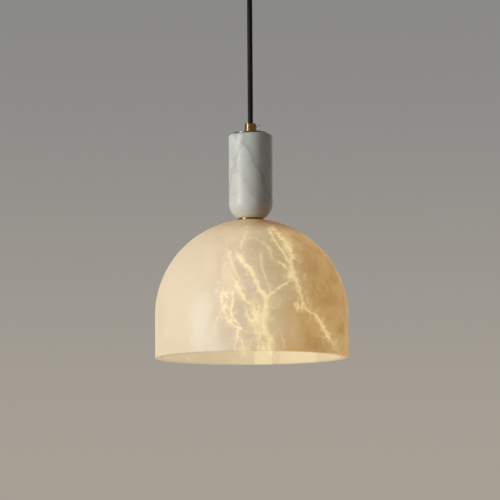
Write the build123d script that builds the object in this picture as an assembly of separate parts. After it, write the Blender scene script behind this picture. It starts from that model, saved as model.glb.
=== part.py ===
from build123d import *

import os
from math import acos, asin, cos, degrees, pi, radians, sin, sqrt, tan

# Pendant light: a domed stone shade hung under a turned marble column on a round cord. The origin is the
# middle of the bracket's ceiling face, Z points up and the light hangs below. Sizes are in millimetres.

# Shade: a hollow half ball on a short straight skirt
shade_diameter = 200.0
shade_skirt = 44.0
shade_wall = 9.0
shade_rim_round = 1.2

# Column of turned marble above the shade
column_diameter = 45.6
column_height = 88.0
column_foot_arc = 18.7
column_top_round = 3.2

# Thin brass plate on the column, and the collar between column and shade
plate_setback = 4.2
plate_thickness = 1.5
plate_edge_round = 0.4
collar_diameter = 27.4
collar_height = 2.0
collar_edge_round = 0.5
collar_gasket_inset = 2.7
collar_gasket_thickness = 0.6
seat_margin = 0.3

# Cord: its diameter, the free length between the mouths of the two grips, and the wires in it
cord_diameter = 5.5
cord_free_length = 135.0
cord_end_gap = 0.3
wire_diameter = 1.8
wire_spacing = 2.25
wire_bend_share = 0.45

# Cord grips, one at the ceiling and one on the light, each with a bell mouth that the cord bends in
grip_height = 9.8
grip_throat_gap = 0.25
grip_bell_arc = 4.0
grip_bell_angle = 61.0
grip_lip = 0.44
grip_edge_round = 0.6
grip_socket_depth = 2.6
swing_depth = 1.5

# Clear screw in the side of each grip
screw_diameter = 3.6
screw_web = 0.3
screw_running_gap = 0.08
screw_tip_gap = 0.15
screw_head_diameter = 7.4
screw_head_thickness = 2.8
screw_head_standoff = 1.4
screw_head_round = 0.5
screw_slot_width = 0.9
screw_slot_depth = 1.1

# Hollow threaded tube through the column, and what clamps the shade to it
tube_wall = 1.35
tube_cord_gap = 0.85
tube_passage_gap = 0.35
thread_gap = 0.05
shade_gasket_diameter = 38.0
shade_gasket_thickness = 1.5
clamp_washer_inset = 1.0
clamp_washer_thickness = 1.5
clamp_nut_wall = 2.0
clamp_nut_thickness = 4.0
inner_flat_margin = 1.0

# Canopy at the ceiling
canopy_diameter = 120.0
canopy_wall = 1.0
canopy_inner_round = 2.0
canopy_wire_room = 9.0
canopy_wire_loop = 7.0
grip_nut_wall = 2.0
grip_nut_thickness = 4.0
grip_stub_spare = 1.5
sheath_reach = 2.0

# Ceiling bracket: a strip whose two arms step down from the ceiling
bracket_end_gap = 5.0
bracket_width = 22.0
bracket_thickness = 1.5
bracket_corner_round = 3.5
bracket_step = 5.0
bracket_step_run = 3.0
bracket_arm_length = 21.0
bracket_slot_length = 14.0
bracket_slot_width = 5.0
bracket_slot_margin = 3.0

# Studs that carry the canopy, with their ball nuts
stud_inset = 6.0
stud_diameter = 4.0
stud_head_diameter = 7.0
stud_head_thickness = 2.3
stud_hole_gap = 0.3
ball_nut_diameter = 9.0
ball_nut_neck_wall = 0.95
ball_nut_end_wall = 3.0
ball_nut_flange_wall = 1.95
ball_nut_flange_thickness = 1.2

# Terminal block under the bracket
block_depth = 16.0
block_height = 11.0
block_side_wall = 2.2
block_edge_round = 0.8
sleeve_diameter = 4.6
sleeve_wall = 0.8
sleeve_recess = 1.5
pole_web = 0.7
pole_screw_diameter = 2.4
pole_screw_inset = 3.6
pole_screw_recess = 0.6
block_screw_diameter = 3.0
block_screw_inset = 2.6
block_screw_head_overhang = 0.2
block_screw_head_thickness = 1.8
block_screw_recess = 1.8
part_gap = 0.1

# Earth screw and its tag on one arm of the bracket
earth_screw_inset = 10.0
earth_screw_diameter = 4.0
earth_screw_head_diameter = 6.4
earth_screw_head_thickness = 2.2
earth_tag_thickness = 0.8
earth_tag_width = 1.5
earth_tag_neck = 3.0

# Lampholder inside the shade: brass entry disc, cap and barrel round a porcelain core
holder_wall = 1.6
holder_boss_wall = 3.5
holder_boss_height = 3.0
holder_roof_thickness = 4.0
holder_wire_room = 11.0
holder_spigot_drop = 4.0
holder_spigot_height = 6.0
holder_spigot_gap = 0.1
holder_ledge_width = 2.45
holder_ledge_thickness = 2.0
holder_mouth_overhang = 1.0
holder_earth_offset = 2.0
holder_earth_web = 1.6
holder_entry_rim = 1.5
core_gap = 0.2
core_roof = 5.0
core_well_diameter = 19.0
terminal_inset = 5.5
terminal_web = 1.0
terminal_screw_diameter = 3.0
terminal_head_overhang = 1.0
terminal_head_thickness = 1.6
shell_wall = 0.5
shell_length = 21.0
shell_bulb_gap = 0.35
contact_strip = 0.4
contact_strip_width = 5.0
contact_drop = 3.3
contact_reach = 4.0
contact_root = 3.0

# Screw-in globe bulb
bulb_diameter = 45.0
bulb_mouth_diameter = 36.0
bulb_globe_wall = 1.0
bulb_cap_diameter = 26.2
bulb_cap_length = 20.0
bulb_cap_wall = 0.4
bulb_cap_curl = 2.0
bulb_cap_lip_width = 4.3
bulb_seat_gap = 0.5
bulb_insulator_height = 3.0
bulb_contact_diameter = 9.0
bulb_contact_thickness = 1.4
bulb_contact_gap = 0.3
bulb_housing_wall = 1.6
bulb_housing_height = 17.6
bulb_housing_bulge = 1.0
bulb_board_thickness = 1.6
bulb_board_ledge = 1.0
bulb_led_side = 2.8
bulb_led_height = 0.7
bulb_led_inset = 2.3
bulb_led_count = 10

# Radii that several pieces share
shade_radius = shade_diameter / 2
shade_inner_radius = shade_radius - shade_wall
column_radius = column_diameter / 2
plate_radius = column_radius - plate_setback
collar_radius = collar_diameter / 2
cord_radius = cord_diameter / 2
wire_radius = wire_diameter / 2
throat_radius = cord_radius + grip_throat_gap
mouth_radius = throat_radius + grip_bell_arc * (1 - cos(radians(grip_bell_angle)))
bell_depth = grip_bell_arc * sin(radians(grip_bell_angle))
grip_radius = mouth_radius + grip_lip + grip_edge_round
tube_bore = cord_radius + tube_cord_gap
tube_radius = tube_bore + tube_wall
thread_radius = tube_radius + thread_gap
passage_radius = tube_radius + tube_passage_gap
seat_radius = collar_radius + seat_margin
inner_flat_radius = shade_gasket_diameter / 2 + inner_flat_margin
canopy_radius = canopy_diameter / 2
terminal_screw_radius = terminal_screw_diameter / 2
terminal_head_radius = terminal_screw_radius + terminal_head_overhang
bulb_cap_radius = bulb_cap_diameter / 2
shell_bore = bulb_cap_radius + shell_bulb_gap
shell_radius = shell_bore + shell_wall
ledge_radius = shell_radius + part_gap
core_radius = ledge_radius + holder_ledge_width
spigot_bore = core_radius + core_gap
spigot_radius = spigot_bore + holder_wall
barrel_bore = spigot_radius + holder_spigot_gap
holder_radius = barrel_bore + holder_wall
boss_radius = thread_radius + holder_boss_wall
well_radius = core_well_diameter / 2
globe_radius = bulb_diameter / 2
globe_mouth = bulb_mouth_diameter / 2

# Distances of fixings from the middle
bracket_half = canopy_radius - canopy_wall - bracket_end_gap
stud_place = bracket_half - stud_inset
earth_place = stud_place - earth_screw_inset
arm_place = bracket_half - bracket_arm_length
bracket_middle = arm_place - bracket_step_run
slot_place = bracket_middle - bracket_slot_margin - bracket_slot_length / 2
pole_place = (sleeve_diameter + block_screw_diameter) / 2 + pole_web
pole_screw_place = block_depth / 2 - pole_screw_inset
block_screw_place = block_depth / 2 - block_screw_inset
terminal_place = core_radius - terminal_inset
holder_earth_place = boss_radius + holder_earth_offset

# Heights in the canopy, from the ceiling down
bracket_under = -bracket_thickness
arm_top = -bracket_step
arm_under = arm_top - bracket_thickness
tag_under = arm_under - earth_tag_thickness
block_bottom = bracket_under - block_height
pole_height = bracket_under - block_height / 2
sheath_top = block_bottom - canopy_wire_room
stub_top = sheath_top - sheath_reach
canopy_floor = stub_top - grip_stub_spare - grip_nut_thickness
canopy_bottom = canopy_floor - canopy_wall

# Heights of the cord, the column and the shade
upper_mouth = canopy_bottom - grip_height
upper_pivot = upper_mouth + swing_depth
lower_mouth = upper_mouth - cord_free_length
lower_pivot = lower_mouth - swing_depth
plate_top = lower_mouth - grip_height
tube_top = plate_top + grip_socket_depth
column_top = plate_top - plate_thickness
column_foot = column_top - column_height
shade_top = column_foot - collar_height
shade_centre = shade_top - sqrt(shade_radius**2 - seat_radius**2)
shade_rim = shade_centre - shade_skirt
inner_flat = shade_centre + sqrt(shade_inner_radius**2 - inner_flat_radius**2)
gasket_bottom = inner_flat - shade_gasket_thickness
washer_bottom = gasket_bottom - clamp_washer_thickness

# Heights of the lampholder and the bulb
holder_top = washer_bottom - clamp_nut_thickness
holder_shoulder = holder_top - holder_boss_height
holder_roof = holder_shoulder - holder_roof_thickness
earth_screw_top = holder_roof + holder_roof_thickness - holder_earth_web
sheath_bottom = holder_roof - sheath_reach
core_top = holder_roof - holder_wire_room
well_roof = core_top - core_roof
bulb_tip = well_roof - contact_drop - bulb_contact_gap
insulator_top = bulb_tip - bulb_contact_thickness
bulb_cap_top = insulator_top - bulb_insulator_height
ledge_top = bulb_cap_top + bulb_seat_gap + shell_wall
ledge_under = ledge_top - holder_ledge_thickness
cap_bottom = ledge_top + holder_spigot_drop
spigot_top = cap_bottom + holder_spigot_height
shell_bottom = ledge_top - shell_length
barrel_bottom = shell_bottom - holder_mouth_overhang
bulb_cap_bottom = bulb_cap_top - bulb_cap_length
housing_bottom = bulb_cap_bottom - bulb_housing_height
globe_centre = housing_bottom - sqrt(globe_radius**2 - globe_mouth**2)
bulb_bottom = globe_centre - globe_radius


def arc(centre, radius, start, end):
    """Arc step of a profile: its middle point and its end point, from angles in degrees."""
    points = []
    for angle in (radians((start + end) / 2), radians(end)):
        points.append((centre[0] + radius * cos(angle), centre[1] + radius * sin(angle)))
    return tuple(points)


def turned(*path):
    """Solid turned about Z from a closed profile of (radius, height) points and arc steps."""
    edges = []
    here = path[0]
    for step in path[1:] + path[:1]:
        if isinstance(step[0], tuple):
            through, end = step
            edges.append(ThreePointArc(here, through, end))
        else:
            end = step
            edges.append(Line(here, end))
        here = end
    return revolve(Plane.XZ * make_face(edges), Axis.Z)


def ring(outer, inner, low, high):
    """Plain ring about Z."""
    return turned((inner, low), (outer, low), (outer, high), (inner, high))


def rod(radius, low, high, x=0.0, y=0.0):
    """Plain upright rod."""
    return Pos(x, y, low) * Cylinder(radius, high - low, align=(Align.CENTER, Align.CENTER, Align.MIN))


def headed_rod(radius, end, head_radius, seat, head_end):
    """Upright screw: a shank from its end to the seat, and a head from the seat outward."""
    return rod(radius, min(end, seat), max(end, seat)) + rod(head_radius, min(seat, head_end), max(seat, head_end))


def hex_nut(wall, low, high):
    """Six-sided nut for the threaded tube."""
    hexagon = RegularPolygon(thread_radius + wall, 6, major_radius=False)
    return Pos(0, 0, low) * extrude(hexagon, high - low) - rod(thread_radius, low, high)


def wire_along(name, points):
    """Round wire along straight runs, joined by arcs as large as the runs allow."""
    corners = [Vector(point) for point in points]
    runs = [after - before for before, after in zip(corners, corners[1:])]
    radii = []
    for before, after in zip(runs, runs[1:]):
        half_turn = radians(before.get_angle(after)) / 2
        radii.append(wire_bend_share * min(before.length, after.length) / tan(half_turn))
    path = FilletPolyline(*points, radius=radii)
    wire = sweep(Plane(origin=path @ 0, z_dir=path % 0) * Circle(wire_radius), path=path)
    share = wire.volume / (pi * wire_radius**2 * path.length)
    print(f"{name}: {path.length:.1f} mm, volume share {share:.4f}, radii", [round(r, 1) for r in radii])
    return wire


# Cord grips

screw_axis = grip_height - grip_socket_depth - screw_web - screw_diameter / 2 - screw_running_gap
canopy_grip_pose = Pos(0, 0, upper_mouth)
lamp_grip_pose = Pos(0, 0, lower_mouth) * Rot(180, 0, 0)


def grip_blank():
    """Grip with its bell mouth at height 0 and its body above, bored across for the screw."""
    edge = grip_edge_round
    bell_centre = (throat_radius + grip_bell_arc, bell_depth)
    body = turned(
        (mouth_radius, 0),
        (grip_radius - edge, 0),
        arc((grip_radius - edge, edge), edge, -90, 0),
        (grip_radius, grip_height),
        (throat_radius, grip_height),
        (throat_radius, bell_depth),
        arc(bell_centre, grip_bell_arc, 180, 180 + grip_bell_angle),
    )
    hole = rod(screw_diameter / 2 + screw_running_gap, 0, 2 * grip_radius)
    return body - Pos(0, 0, screw_axis) * Rot(0, 90, 0) * hole


def grip_screw_blank():
    """Slotted screw along +X in that bore, its tip just off the cord."""
    tip = cord_radius + screw_tip_gap
    head = grip_radius + screw_head_standoff
    head_end = head + screw_head_thickness
    head_radius = screw_head_diameter / 2
    edge = screw_head_round
    screw = turned(
        (0, tip),
        (screw_diameter / 2, tip),
        (screw_diameter / 2, head),
        (head_radius, head),
        (head_radius, head_end - edge),
        arc((head_radius - edge, head_end - edge), edge, 0, 90),
        (0, head_end),
    )
    slot = Pos(0, 0, head_end) * Box(screw_slot_width, 2 * screw_head_diameter, 2 * screw_slot_depth)
    return Pos(0, 0, screw_axis) * Rot(0, 90, 0) * (screw - slot)


def canopy_cord_grip():
    """Grip at the ceiling, mouth down, with a threaded stub up through the canopy."""
    return canopy_grip_pose * grip_blank() + ring(tube_radius, throat_radius, canopy_bottom, stub_top)


def canopy_grip_screw():
    return canopy_grip_pose * grip_screw_blank()


def canopy_grip_nut():
    return hex_nut(grip_nut_wall, canopy_floor, canopy_floor + grip_nut_thickness)


def lamp_cord_grip():
    """Grip on the light, mouth up, with a threaded socket for the tube in its foot."""
    return lamp_grip_pose * grip_blank() - rod(thread_radius, plate_top, tube_top)


def lamp_grip_screw():
    return lamp_grip_pose * grip_screw_blank()


# Cord: a free stretch with a ball at each end, where it bends, and the two lengths that the grips hold


def cord():
    stretch = rod(cord_radius, lower_pivot, upper_pivot)
    return stretch + [Pos(0, 0, height) * Sphere(cord_radius) for height in (lower_pivot, upper_pivot)]


def cord_top_end():
    return rod(cord_radius, upper_pivot + cord_radius + cord_end_gap, sheath_top)


def cord_bottom_end():
    return rod(cord_radius, sheath_bottom, lower_pivot - cord_radius - cord_end_gap)


# Canopy, bracket and studs


def canopy():
    """Shallow drawn cup, open at the ceiling."""
    outer_round = canopy_inner_round + canopy_wall
    bend = (canopy_radius - outer_round, canopy_bottom + outer_round)
    cup = turned(
        (thread_radius, canopy_bottom),
        (bend[0], canopy_bottom),
        arc(bend, outer_round, -90, 0),
        (canopy_radius, 0),
        (canopy_radius - canopy_wall, 0),
        (canopy_radius - canopy_wall, bend[1]),
        arc(bend, canopy_inner_round, 0, -90),
        (thread_radius, canopy_floor),
    )
    for x in (-stud_place, stud_place):
        cup -= rod(stud_diameter / 2 + stud_hole_gap, canopy_bottom, canopy_floor, x)
    return cup


def ceiling_bracket():
    """Bent strip: its middle lies on the ceiling and its arms stand off it."""
    right = [
        (bracket_middle, 0),
        (arm_place, arm_top),
        (bracket_half, arm_top),
        (bracket_half, arm_under),
        (arm_place, arm_under),
        (bracket_middle, bracket_under),
    ]
    left = [(-x, z) for x, z in reversed(right)]
    profile = Plane.XZ * make_face(Polyline(*right, *left, close=True))
    strip = extrude(profile, bracket_width / 2, both=True)
    strip = fillet(strip.edges().filter_by(Axis.Z), bracket_corner_round)
    slot = extrude(SlotOverall(bracket_slot_length, bracket_slot_width), bracket_thickness)
    for side in (-1, 1):
        strip -= Pos(side * slot_place, 0, bracket_under) * slot
        strip -= rod(stud_diameter / 2 + thread_gap, arm_under, arm_top, side * stud_place)
    strip -= rod(earth_screw_diameter / 2 + thread_gap, arm_under, arm_top, earth_place)
    strip -= rod(block_screw_diameter / 2 + thread_gap, bracket_under, 0, 0, block_screw_place)
    return strip


nut_bore = stud_diameter / 2 + thread_gap
nut_neck = nut_bore + ball_nut_neck_wall
nut_flange = nut_bore + ball_nut_flange_wall
nut_shoulder = canopy_bottom - ball_nut_flange_thickness
ball_radius = ball_nut_diameter / 2
ball_centre = nut_shoulder - sqrt(ball_radius**2 - nut_neck**2)
nut_bore_end = ball_centre - ball_radius + ball_nut_end_wall


def canopy_studs():
    """Two headed studs hung from the bracket's arms."""
    head_end = arm_top + stud_head_thickness
    stud = headed_rod(stud_diameter / 2, nut_bore_end + thread_gap, stud_head_diameter / 2, arm_top, head_end)
    return Compound(children=[Pos(x, 0, 0) * stud for x in (-stud_place, stud_place)])


def canopy_nuts():
    """Two blind ball nuts that hold the canopy up on its studs."""
    nut = turned(
        (nut_bore, canopy_bottom),
        (nut_flange, canopy_bottom),
        (nut_flange, nut_shoulder),
        (nut_neck, nut_shoulder),
        arc((0, ball_centre), ball_radius, degrees(acos(nut_neck / ball_radius)), -90),
        (0, nut_bore_end),
        (nut_bore, nut_bore_end),
    )
    return Compound(children=[Pos(x, 0, 0) * nut for x in (-stud_place, stud_place)])


# Terminal block and earth point

sleeve_radius = sleeve_diameter / 2
sleeve_bore = sleeve_radius - sleeve_wall
sleeve_length = block_depth - 2 * sleeve_recess
pole_screw_radius = pole_screw_diameter / 2
pole_screws = [(x, y) for x in (-pole_place, pole_place) for y in (-pole_screw_place, pole_screw_place)]
block_width = 2 * (pole_place + sleeve_radius + block_side_wall)
block_screw_head = block_screw_diameter / 2 + block_screw_head_overhang
block_screw_seat = block_bottom + block_screw_recess + block_screw_head_thickness


def lying_rod(radius, length, x):
    """Rod along Y at the height of the poles."""
    return Pos(x, 0, pole_height) * Rot(90, 0, 0) * Cylinder(radius, length)


def terminal_block():
    """Two-pole plastic block, bored along Y for the sleeves and from below for its screws."""
    box = Box(block_width, block_depth, block_height, align=(Align.CENTER, Align.CENTER, Align.MIN))
    block = Pos(0, 0, block_bottom) * fillet(box.edges().filter_by(Axis.Z), block_edge_round)
    for x in (-pole_place, pole_place):
        block -= lying_rod(sleeve_radius + thread_gap, block_depth, x)
    for x, y in pole_screws:
        block -= rod(pole_screw_radius + part_gap, block_bottom, pole_height, x, y)
    block -= rod(block_screw_diameter / 2 + part_gap, block_bottom, bracket_under, 0, block_screw_place)
    block -= rod(block_screw_head + part_gap, block_bottom, block_screw_seat, 0, block_screw_place)
    return block


def terminal_sleeves():
    sleeves = []
    for x in (-pole_place, pole_place):
        sleeve = lying_rod(sleeve_radius, sleeve_length, x) - lying_rod(sleeve_bore, sleeve_length, x)
        for y in (-pole_screw_place, pole_screw_place):
            sleeve -= rod(pole_screw_radius + thread_gap, block_bottom, pole_height, x, y)
        sleeves.append(sleeve)
    return Compound(children=sleeves)


def terminal_screws():
    low = block_bottom + pole_screw_recess
    high = pole_height - sleeve_bore
    return Compound(children=[rod(pole_screw_radius, low, high, x, y) for x, y in pole_screws])


def terminal_block_screw():
    head_end = block_screw_seat - block_screw_head_thickness
    screw = headed_rod(block_screw_diameter / 2, 0, block_screw_head, block_screw_seat, head_end)
    return Pos(0, block_screw_place, 0) * screw


tag_bore = earth_screw_diameter / 2 + thread_gap
tag_radius = tag_bore + earth_tag_width
tag_reach = tag_radius + earth_tag_neck


def earth_screw():
    head_end = tag_under - earth_screw_head_thickness
    screw = headed_rod(earth_screw_diameter / 2, arm_top, earth_screw_head_diameter / 2, tag_under, head_end)
    return Pos(earth_place, 0, 0) * screw


def earth_tag():
    """Flat eye under the earth screw, with a tongue that the wire is joined to."""
    tongue = Rectangle(2 * earth_tag_width, tag_reach, align=(Align.CENTER, Align.MIN))
    outline = Circle(tag_radius) + tongue - Circle(tag_bore)
    return Pos(earth_place, 0, tag_under) * extrude(outline, earth_tag_thickness)


# Wires: three leave each end of the cord, evenly round its middle

wire_turns = {"live": -30.0, "neutral": 210.0, "earth": 90.0}
wire_spread = wire_spacing / sqrt(3)


def wire_root(name):
    angle = radians(wire_turns[name])
    return wire_spread * cos(angle), wire_spread * sin(angle)


def canopy_pole_wire(name, x):
    """Wire that rises out of the cord, loops out past the block and comes back into one pole."""
    root_x, root_y = wire_root(name)
    level = sheath_top + canopy_wire_room / 2
    rise = pole_height - level
    edge = -block_depth / 2
    return wire_along(
        f"canopy {name}",
        [
            (root_x, root_y, sheath_top),
            (root_x, root_y, level - wire_radius),
            (x, edge, level),
            (x, edge - 0.9 * canopy_wire_loop, level + 0.2 * rise),
            (x, edge - 1.3 * canopy_wire_loop, level + 0.7 * rise),
            (x, edge - 0.8 * canopy_wire_loop, pole_height),
            (x, -pole_screw_place + wire_radius, pole_height),
        ],
    )


def canopy_live_wire():
    return canopy_pole_wire("live", pole_place)


def canopy_neutral_wire():
    return canopy_pole_wire("neutral", -pole_place)


def canopy_earth_wire():
    """Wire that rises out of the cord, passes beside the block and ends under the tag's tongue."""
    root_x, root_y = wire_root("earth")
    level = sheath_top + canopy_wire_room / 2
    height = tag_under - wire_radius - thread_gap
    return wire_along(
        "canopy earth",
        [
            (root_x, root_y, sheath_top),
            (root_x, root_y, level - wire_radius),
            (earth_place / 3, block_depth / 2 + 2 * wire_diameter, level),
            (earth_place * 2 / 3, tag_reach + 3 * wire_diameter, (level + height) / 2),
            (earth_place, tag_reach + 2 * wire_diameter, height),
            (earth_place, tag_reach - wire_diameter, height),
        ],
    )


wire_stop = terminal_head_radius + wire_radius + part_gap


def holder_pole_wire(name, side):
    """Wire that drops out of the cord and runs out to one terminal on the core."""
    root_x, root_y = wire_root(name)
    reach = side * (terminal_place - wire_stop)
    return wire_along(
        f"holder {name}",
        [
            (root_x, root_y, sheath_bottom),
            (root_x, root_y, (sheath_bottom + core_top) / 2),
            ((root_x + reach) / 2, 2 * root_y, core_top + wire_diameter),
            (reach, root_y, core_top + wire_radius),
        ],
    )


def lampholder_live_wire():
    return holder_pole_wire("live", 1)


def lampholder_neutral_wire():
    return holder_pole_wire("neutral", -1)


def lampholder_earth_wire():
    """Wire that drops out of the cord and turns up to the earth screw in the cap's roof."""
    root_x, root_y = wire_root("earth")
    reach = holder_earth_place - wire_stop
    low = (sheath_bottom + core_top) / 2
    return wire_along(
        "holder earth",
        [
            (root_x, root_y, sheath_bottom),
            (root_x, root_y, low + wire_diameter),
            (wire_diameter, (root_y + reach) / 2, low),
            (root_x, reach, low + wire_diameter),
            (root_x, reach, holder_roof - terminal_head_thickness / 2),
        ],
    )


# Column stack


def top_plate():
    edge = plate_edge_round
    return turned(
        (passage_radius, column_top),
        (plate_radius - edge, column_top),
        arc((plate_radius - edge, column_top + edge), edge, -90, 0),
        (plate_radius, plate_top - edge),
        arc((plate_radius - edge, plate_top - edge), edge, 0, 90),
        (passage_radius, plate_top),
    )


def marble_column():
    """Cylinder with a soft top edge, drawn in by one long arc to the collar at its foot."""
    top = column_top_round
    foot = column_foot_arc
    arc_middle = column_radius - foot
    foot_angle = -degrees(acos((collar_radius - arc_middle) / foot))
    arc_height = column_foot - foot * sin(radians(foot_angle))
    return turned(
        (passage_radius, column_top),
        (column_radius - top, column_top),
        arc((column_radius - top, column_top - top), top, 90, 0),
        (column_radius, arc_height),
        arc((arc_middle, arc_height), foot, 0, foot_angle),
        (passage_radius, column_foot),
    )


gasket_radius = collar_radius - collar_gasket_inset
gasket_top = shade_top + collar_gasket_thickness


def collar_ring():
    """Brass ring between column and shade, recessed below for its gasket."""
    edge = collar_edge_round
    return turned(
        (passage_radius, gasket_top),
        (gasket_radius + thread_gap, gasket_top),
        (gasket_radius + thread_gap, shade_top),
        (collar_radius - edge, shade_top),
        arc((collar_radius - edge, shade_top + edge), edge, -90, 0),
        (collar_radius, column_foot - edge),
        arc((collar_radius - edge, column_foot - edge), edge, 0, 90),
        (passage_radius, column_foot),
    )


def collar_gasket():
    return ring(gasket_radius, passage_radius, shade_top, gasket_top)


def threaded_tube():
    return ring(tube_radius, tube_bore, holder_roof, tube_top)


def shade():
    """Dome on a straight skirt, with a flat seat outside and inside its crown."""
    rim = shade_rim_round
    seat_angle = degrees(acos(seat_radius / shade_radius))
    flat_angle = degrees(acos(inner_flat_radius / shade_inner_radius))
    return turned(
        (passage_radius, shade_top),
        (seat_radius, shade_top),
        arc((0, shade_centre), shade_radius, seat_angle, 0),
        (shade_radius, shade_rim + rim),
        arc((shade_radius - rim, shade_rim + rim), rim, 0, -90),
        (shade_inner_radius + rim, shade_rim),
        arc((shade_inner_radius + rim, shade_rim + rim), rim, -90, -180),
        (shade_inner_radius, shade_centre),
        arc((0, shade_centre), shade_inner_radius, 0, flat_angle),
        (passage_radius, inner_flat),
    )


def shade_gasket():
    return ring(shade_gasket_diameter / 2, passage_radius, gasket_bottom, inner_flat)


def clamp_washer():
    return ring(shade_gasket_diameter / 2 - clamp_washer_inset, passage_radius, washer_bottom, gasket_bottom)


def clamp_nut():
    return hex_nut(clamp_nut_wall, holder_top, washer_bottom)


# Lampholder


dome_arc = holder_radius - boss_radius
dome_centre = (boss_radius, holder_shoulder - dome_arc)
entry_radius = holder_earth_place + terminal_screw_radius + holder_entry_rim
entry_angle = degrees(acos((entry_radius - boss_radius) / dome_arc))


def lampholder_entry():
    """Thick threaded disc in the crown of the cap, with a boss above and the earth screw below."""
    disc = turned(
        (thread_radius, holder_top),
        (boss_radius, holder_top),
        (boss_radius, holder_shoulder),
        arc(dome_centre, dome_arc, 90, entry_angle),
        (entry_radius, holder_roof),
        (thread_radius, holder_roof),
    )
    return disc - rod(terminal_screw_radius + thread_gap, holder_roof, earth_screw_top, 0, holder_earth_place)


def lampholder_cap():
    """Domed cap round the entry disc, hollow below it for the wires."""
    roof_angle = degrees(asin((dome_arc - holder_roof_thickness) / (dome_arc - holder_wall)))
    return turned(
        (entry_radius, holder_roof),
        (entry_radius, dome_centre[1] + dome_arc * sin(radians(entry_angle))),
        arc(dome_centre, dome_arc, entry_angle, 0),
        (holder_radius, cap_bottom),
        (barrel_bore, cap_bottom),
        (barrel_bore, dome_centre[1]),
        arc(dome_centre, dome_arc - holder_wall, 0, roof_angle),
    )


def lampholder_earth_screw():
    head_end = holder_roof - terminal_head_thickness
    screw = headed_rod(terminal_screw_radius, earth_screw_top, terminal_head_radius, holder_roof, head_end)
    return Pos(0, holder_earth_place, 0) * screw


def lampholder_barrel():
    """Skirt with a spigot inside the cap, a ledge that carries the core, and an open mouth."""
    return turned(
        (spigot_bore, spigot_top),
        (spigot_radius, spigot_top),
        (spigot_radius, cap_bottom),
        (holder_radius, cap_bottom),
        (holder_radius, barrel_bottom),
        (barrel_bore, barrel_bottom),
        (barrel_bore, ledge_under),
        (ledge_radius, ledge_under),
        (ledge_radius, ledge_top),
        (spigot_bore, ledge_top),
    )


def lampholder_core():
    """Porcelain block on the ledge, with a well below for the centre contact."""
    core = turned(
        (0, core_top),
        (core_radius, core_top),
        (core_radius, ledge_top),
        (well_radius, ledge_top),
        (well_radius, well_roof),
        (0, well_roof),
    )
    for x in (-terminal_place, terminal_place):
        core -= rod(terminal_screw_radius + thread_gap, well_roof + terminal_web, core_top, x)
    return core


def lampholder_terminal_screws():
    head_end = core_top + terminal_head_thickness
    screw = headed_rod(terminal_screw_radius, well_roof + terminal_web, terminal_head_radius, core_top, head_end)
    return Compound(children=[Pos(x, 0, 0) * screw for x in (-terminal_place, terminal_place)])


def lampholder_screw_shell():
    """Thin shell that the bulb screws into, flanged against the core's underside."""
    return turned(
        (well_radius, ledge_top),
        (shell_radius, ledge_top),
        (shell_radius, shell_bottom),
        (shell_bore, shell_bottom),
        (shell_bore, ledge_top - shell_wall),
        (well_radius, ledge_top - shell_wall),
    )


def lampholder_centre_contact():
    """Springy strip: flat on the well's roof at one side, bent down over the bulb's tip."""
    low = bulb_tip + bulb_contact_gap
    fold = -contact_reach / 2
    slope = contact_drop / 3
    root = fold - contact_root
    strip = Polyline(
        (root, well_roof),
        (fold, well_roof),
        (fold + slope, low + contact_strip),
        (contact_reach, low + contact_strip),
        (contact_reach, low),
        (fold + slope - contact_strip, low),
        (fold - contact_strip, well_roof - contact_strip),
        (root, well_roof - contact_strip),
        close=True,
    )
    return extrude(Plane.XZ * make_face(strip), contact_strip_width / 2, both=True)


# Bulb

cap_lip = bulb_cap_radius - bulb_cap_lip_width
neck_radius = bulb_cap_radius - bulb_cap_wall - thread_gap
curl_foot = bulb_cap_top - bulb_cap_curl
board_radius = globe_mouth - bulb_housing_wall - part_gap
board_top = housing_bottom + bulb_board_thickness


def bulb_contact():
    return rod(bulb_contact_diameter / 2, insulator_top, bulb_tip)


def bulb_insulator():
    """Short cone in the mouth of the screw cap, under the contact."""
    return turned(
        (0, bulb_cap_top - bulb_cap_wall),
        (cap_lip - thread_gap, bulb_cap_top - bulb_cap_wall),
        (cap_lip - thread_gap, bulb_cap_top),
        (bulb_contact_diameter / 2, insulator_top),
        (0, insulator_top),
    )


def bulb_screw_cap():
    """Thin metal cap, drawn in at its top round the insulator."""
    return turned(
        (bulb_cap_radius, bulb_cap_bottom),
        (bulb_cap_radius, curl_foot),
        (cap_lip + bulb_cap_wall, bulb_cap_top),
        (cap_lip, bulb_cap_top),
        (cap_lip, bulb_cap_top - bulb_cap_wall),
        (bulb_cap_radius - bulb_cap_wall, curl_foot - bulb_cap_wall),
        (bulb_cap_radius - bulb_cap_wall, bulb_cap_bottom),
    )


def bulb_housing():
    """Hollow body from inside the screw cap down to the globe, flaring as it goes."""
    neck_top = curl_foot - bulb_cap_wall
    neck_bore = neck_radius - bulb_housing_wall
    flare_middle = (bulb_cap_radius + globe_mouth) / 2 + bulb_housing_bulge
    return turned(
        (0, neck_top),
        (neck_radius, neck_top),
        (neck_radius, bulb_cap_bottom),
        (bulb_cap_radius, bulb_cap_bottom),
        ((flare_middle, (bulb_cap_bottom + housing_bottom) / 2), (globe_mouth, housing_bottom)),
        (board_radius + part_gap, housing_bottom),
        (board_radius + part_gap, board_top),
        (board_radius - bulb_board_ledge, board_top),
        (neck_bore, bulb_cap_bottom - bulb_housing_wall),
        (neck_bore, neck_top - bulb_housing_wall),
        (0, neck_top - bulb_housing_wall),
    )


def bulb_led_board():
    return rod(board_radius, housing_bottom, board_top)


def bulb_leds():
    chip = Box(bulb_led_side, bulb_led_side, bulb_led_height, align=(Align.MAX, Align.CENTER, Align.MAX))
    placed = Pos(board_radius - bulb_led_inset, 0, housing_bottom) * chip
    turns = [360 * n / bulb_led_count for n in range(bulb_led_count)]
    return Compound(children=[Rot(0, 0, turn) * placed for turn in turns])


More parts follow.
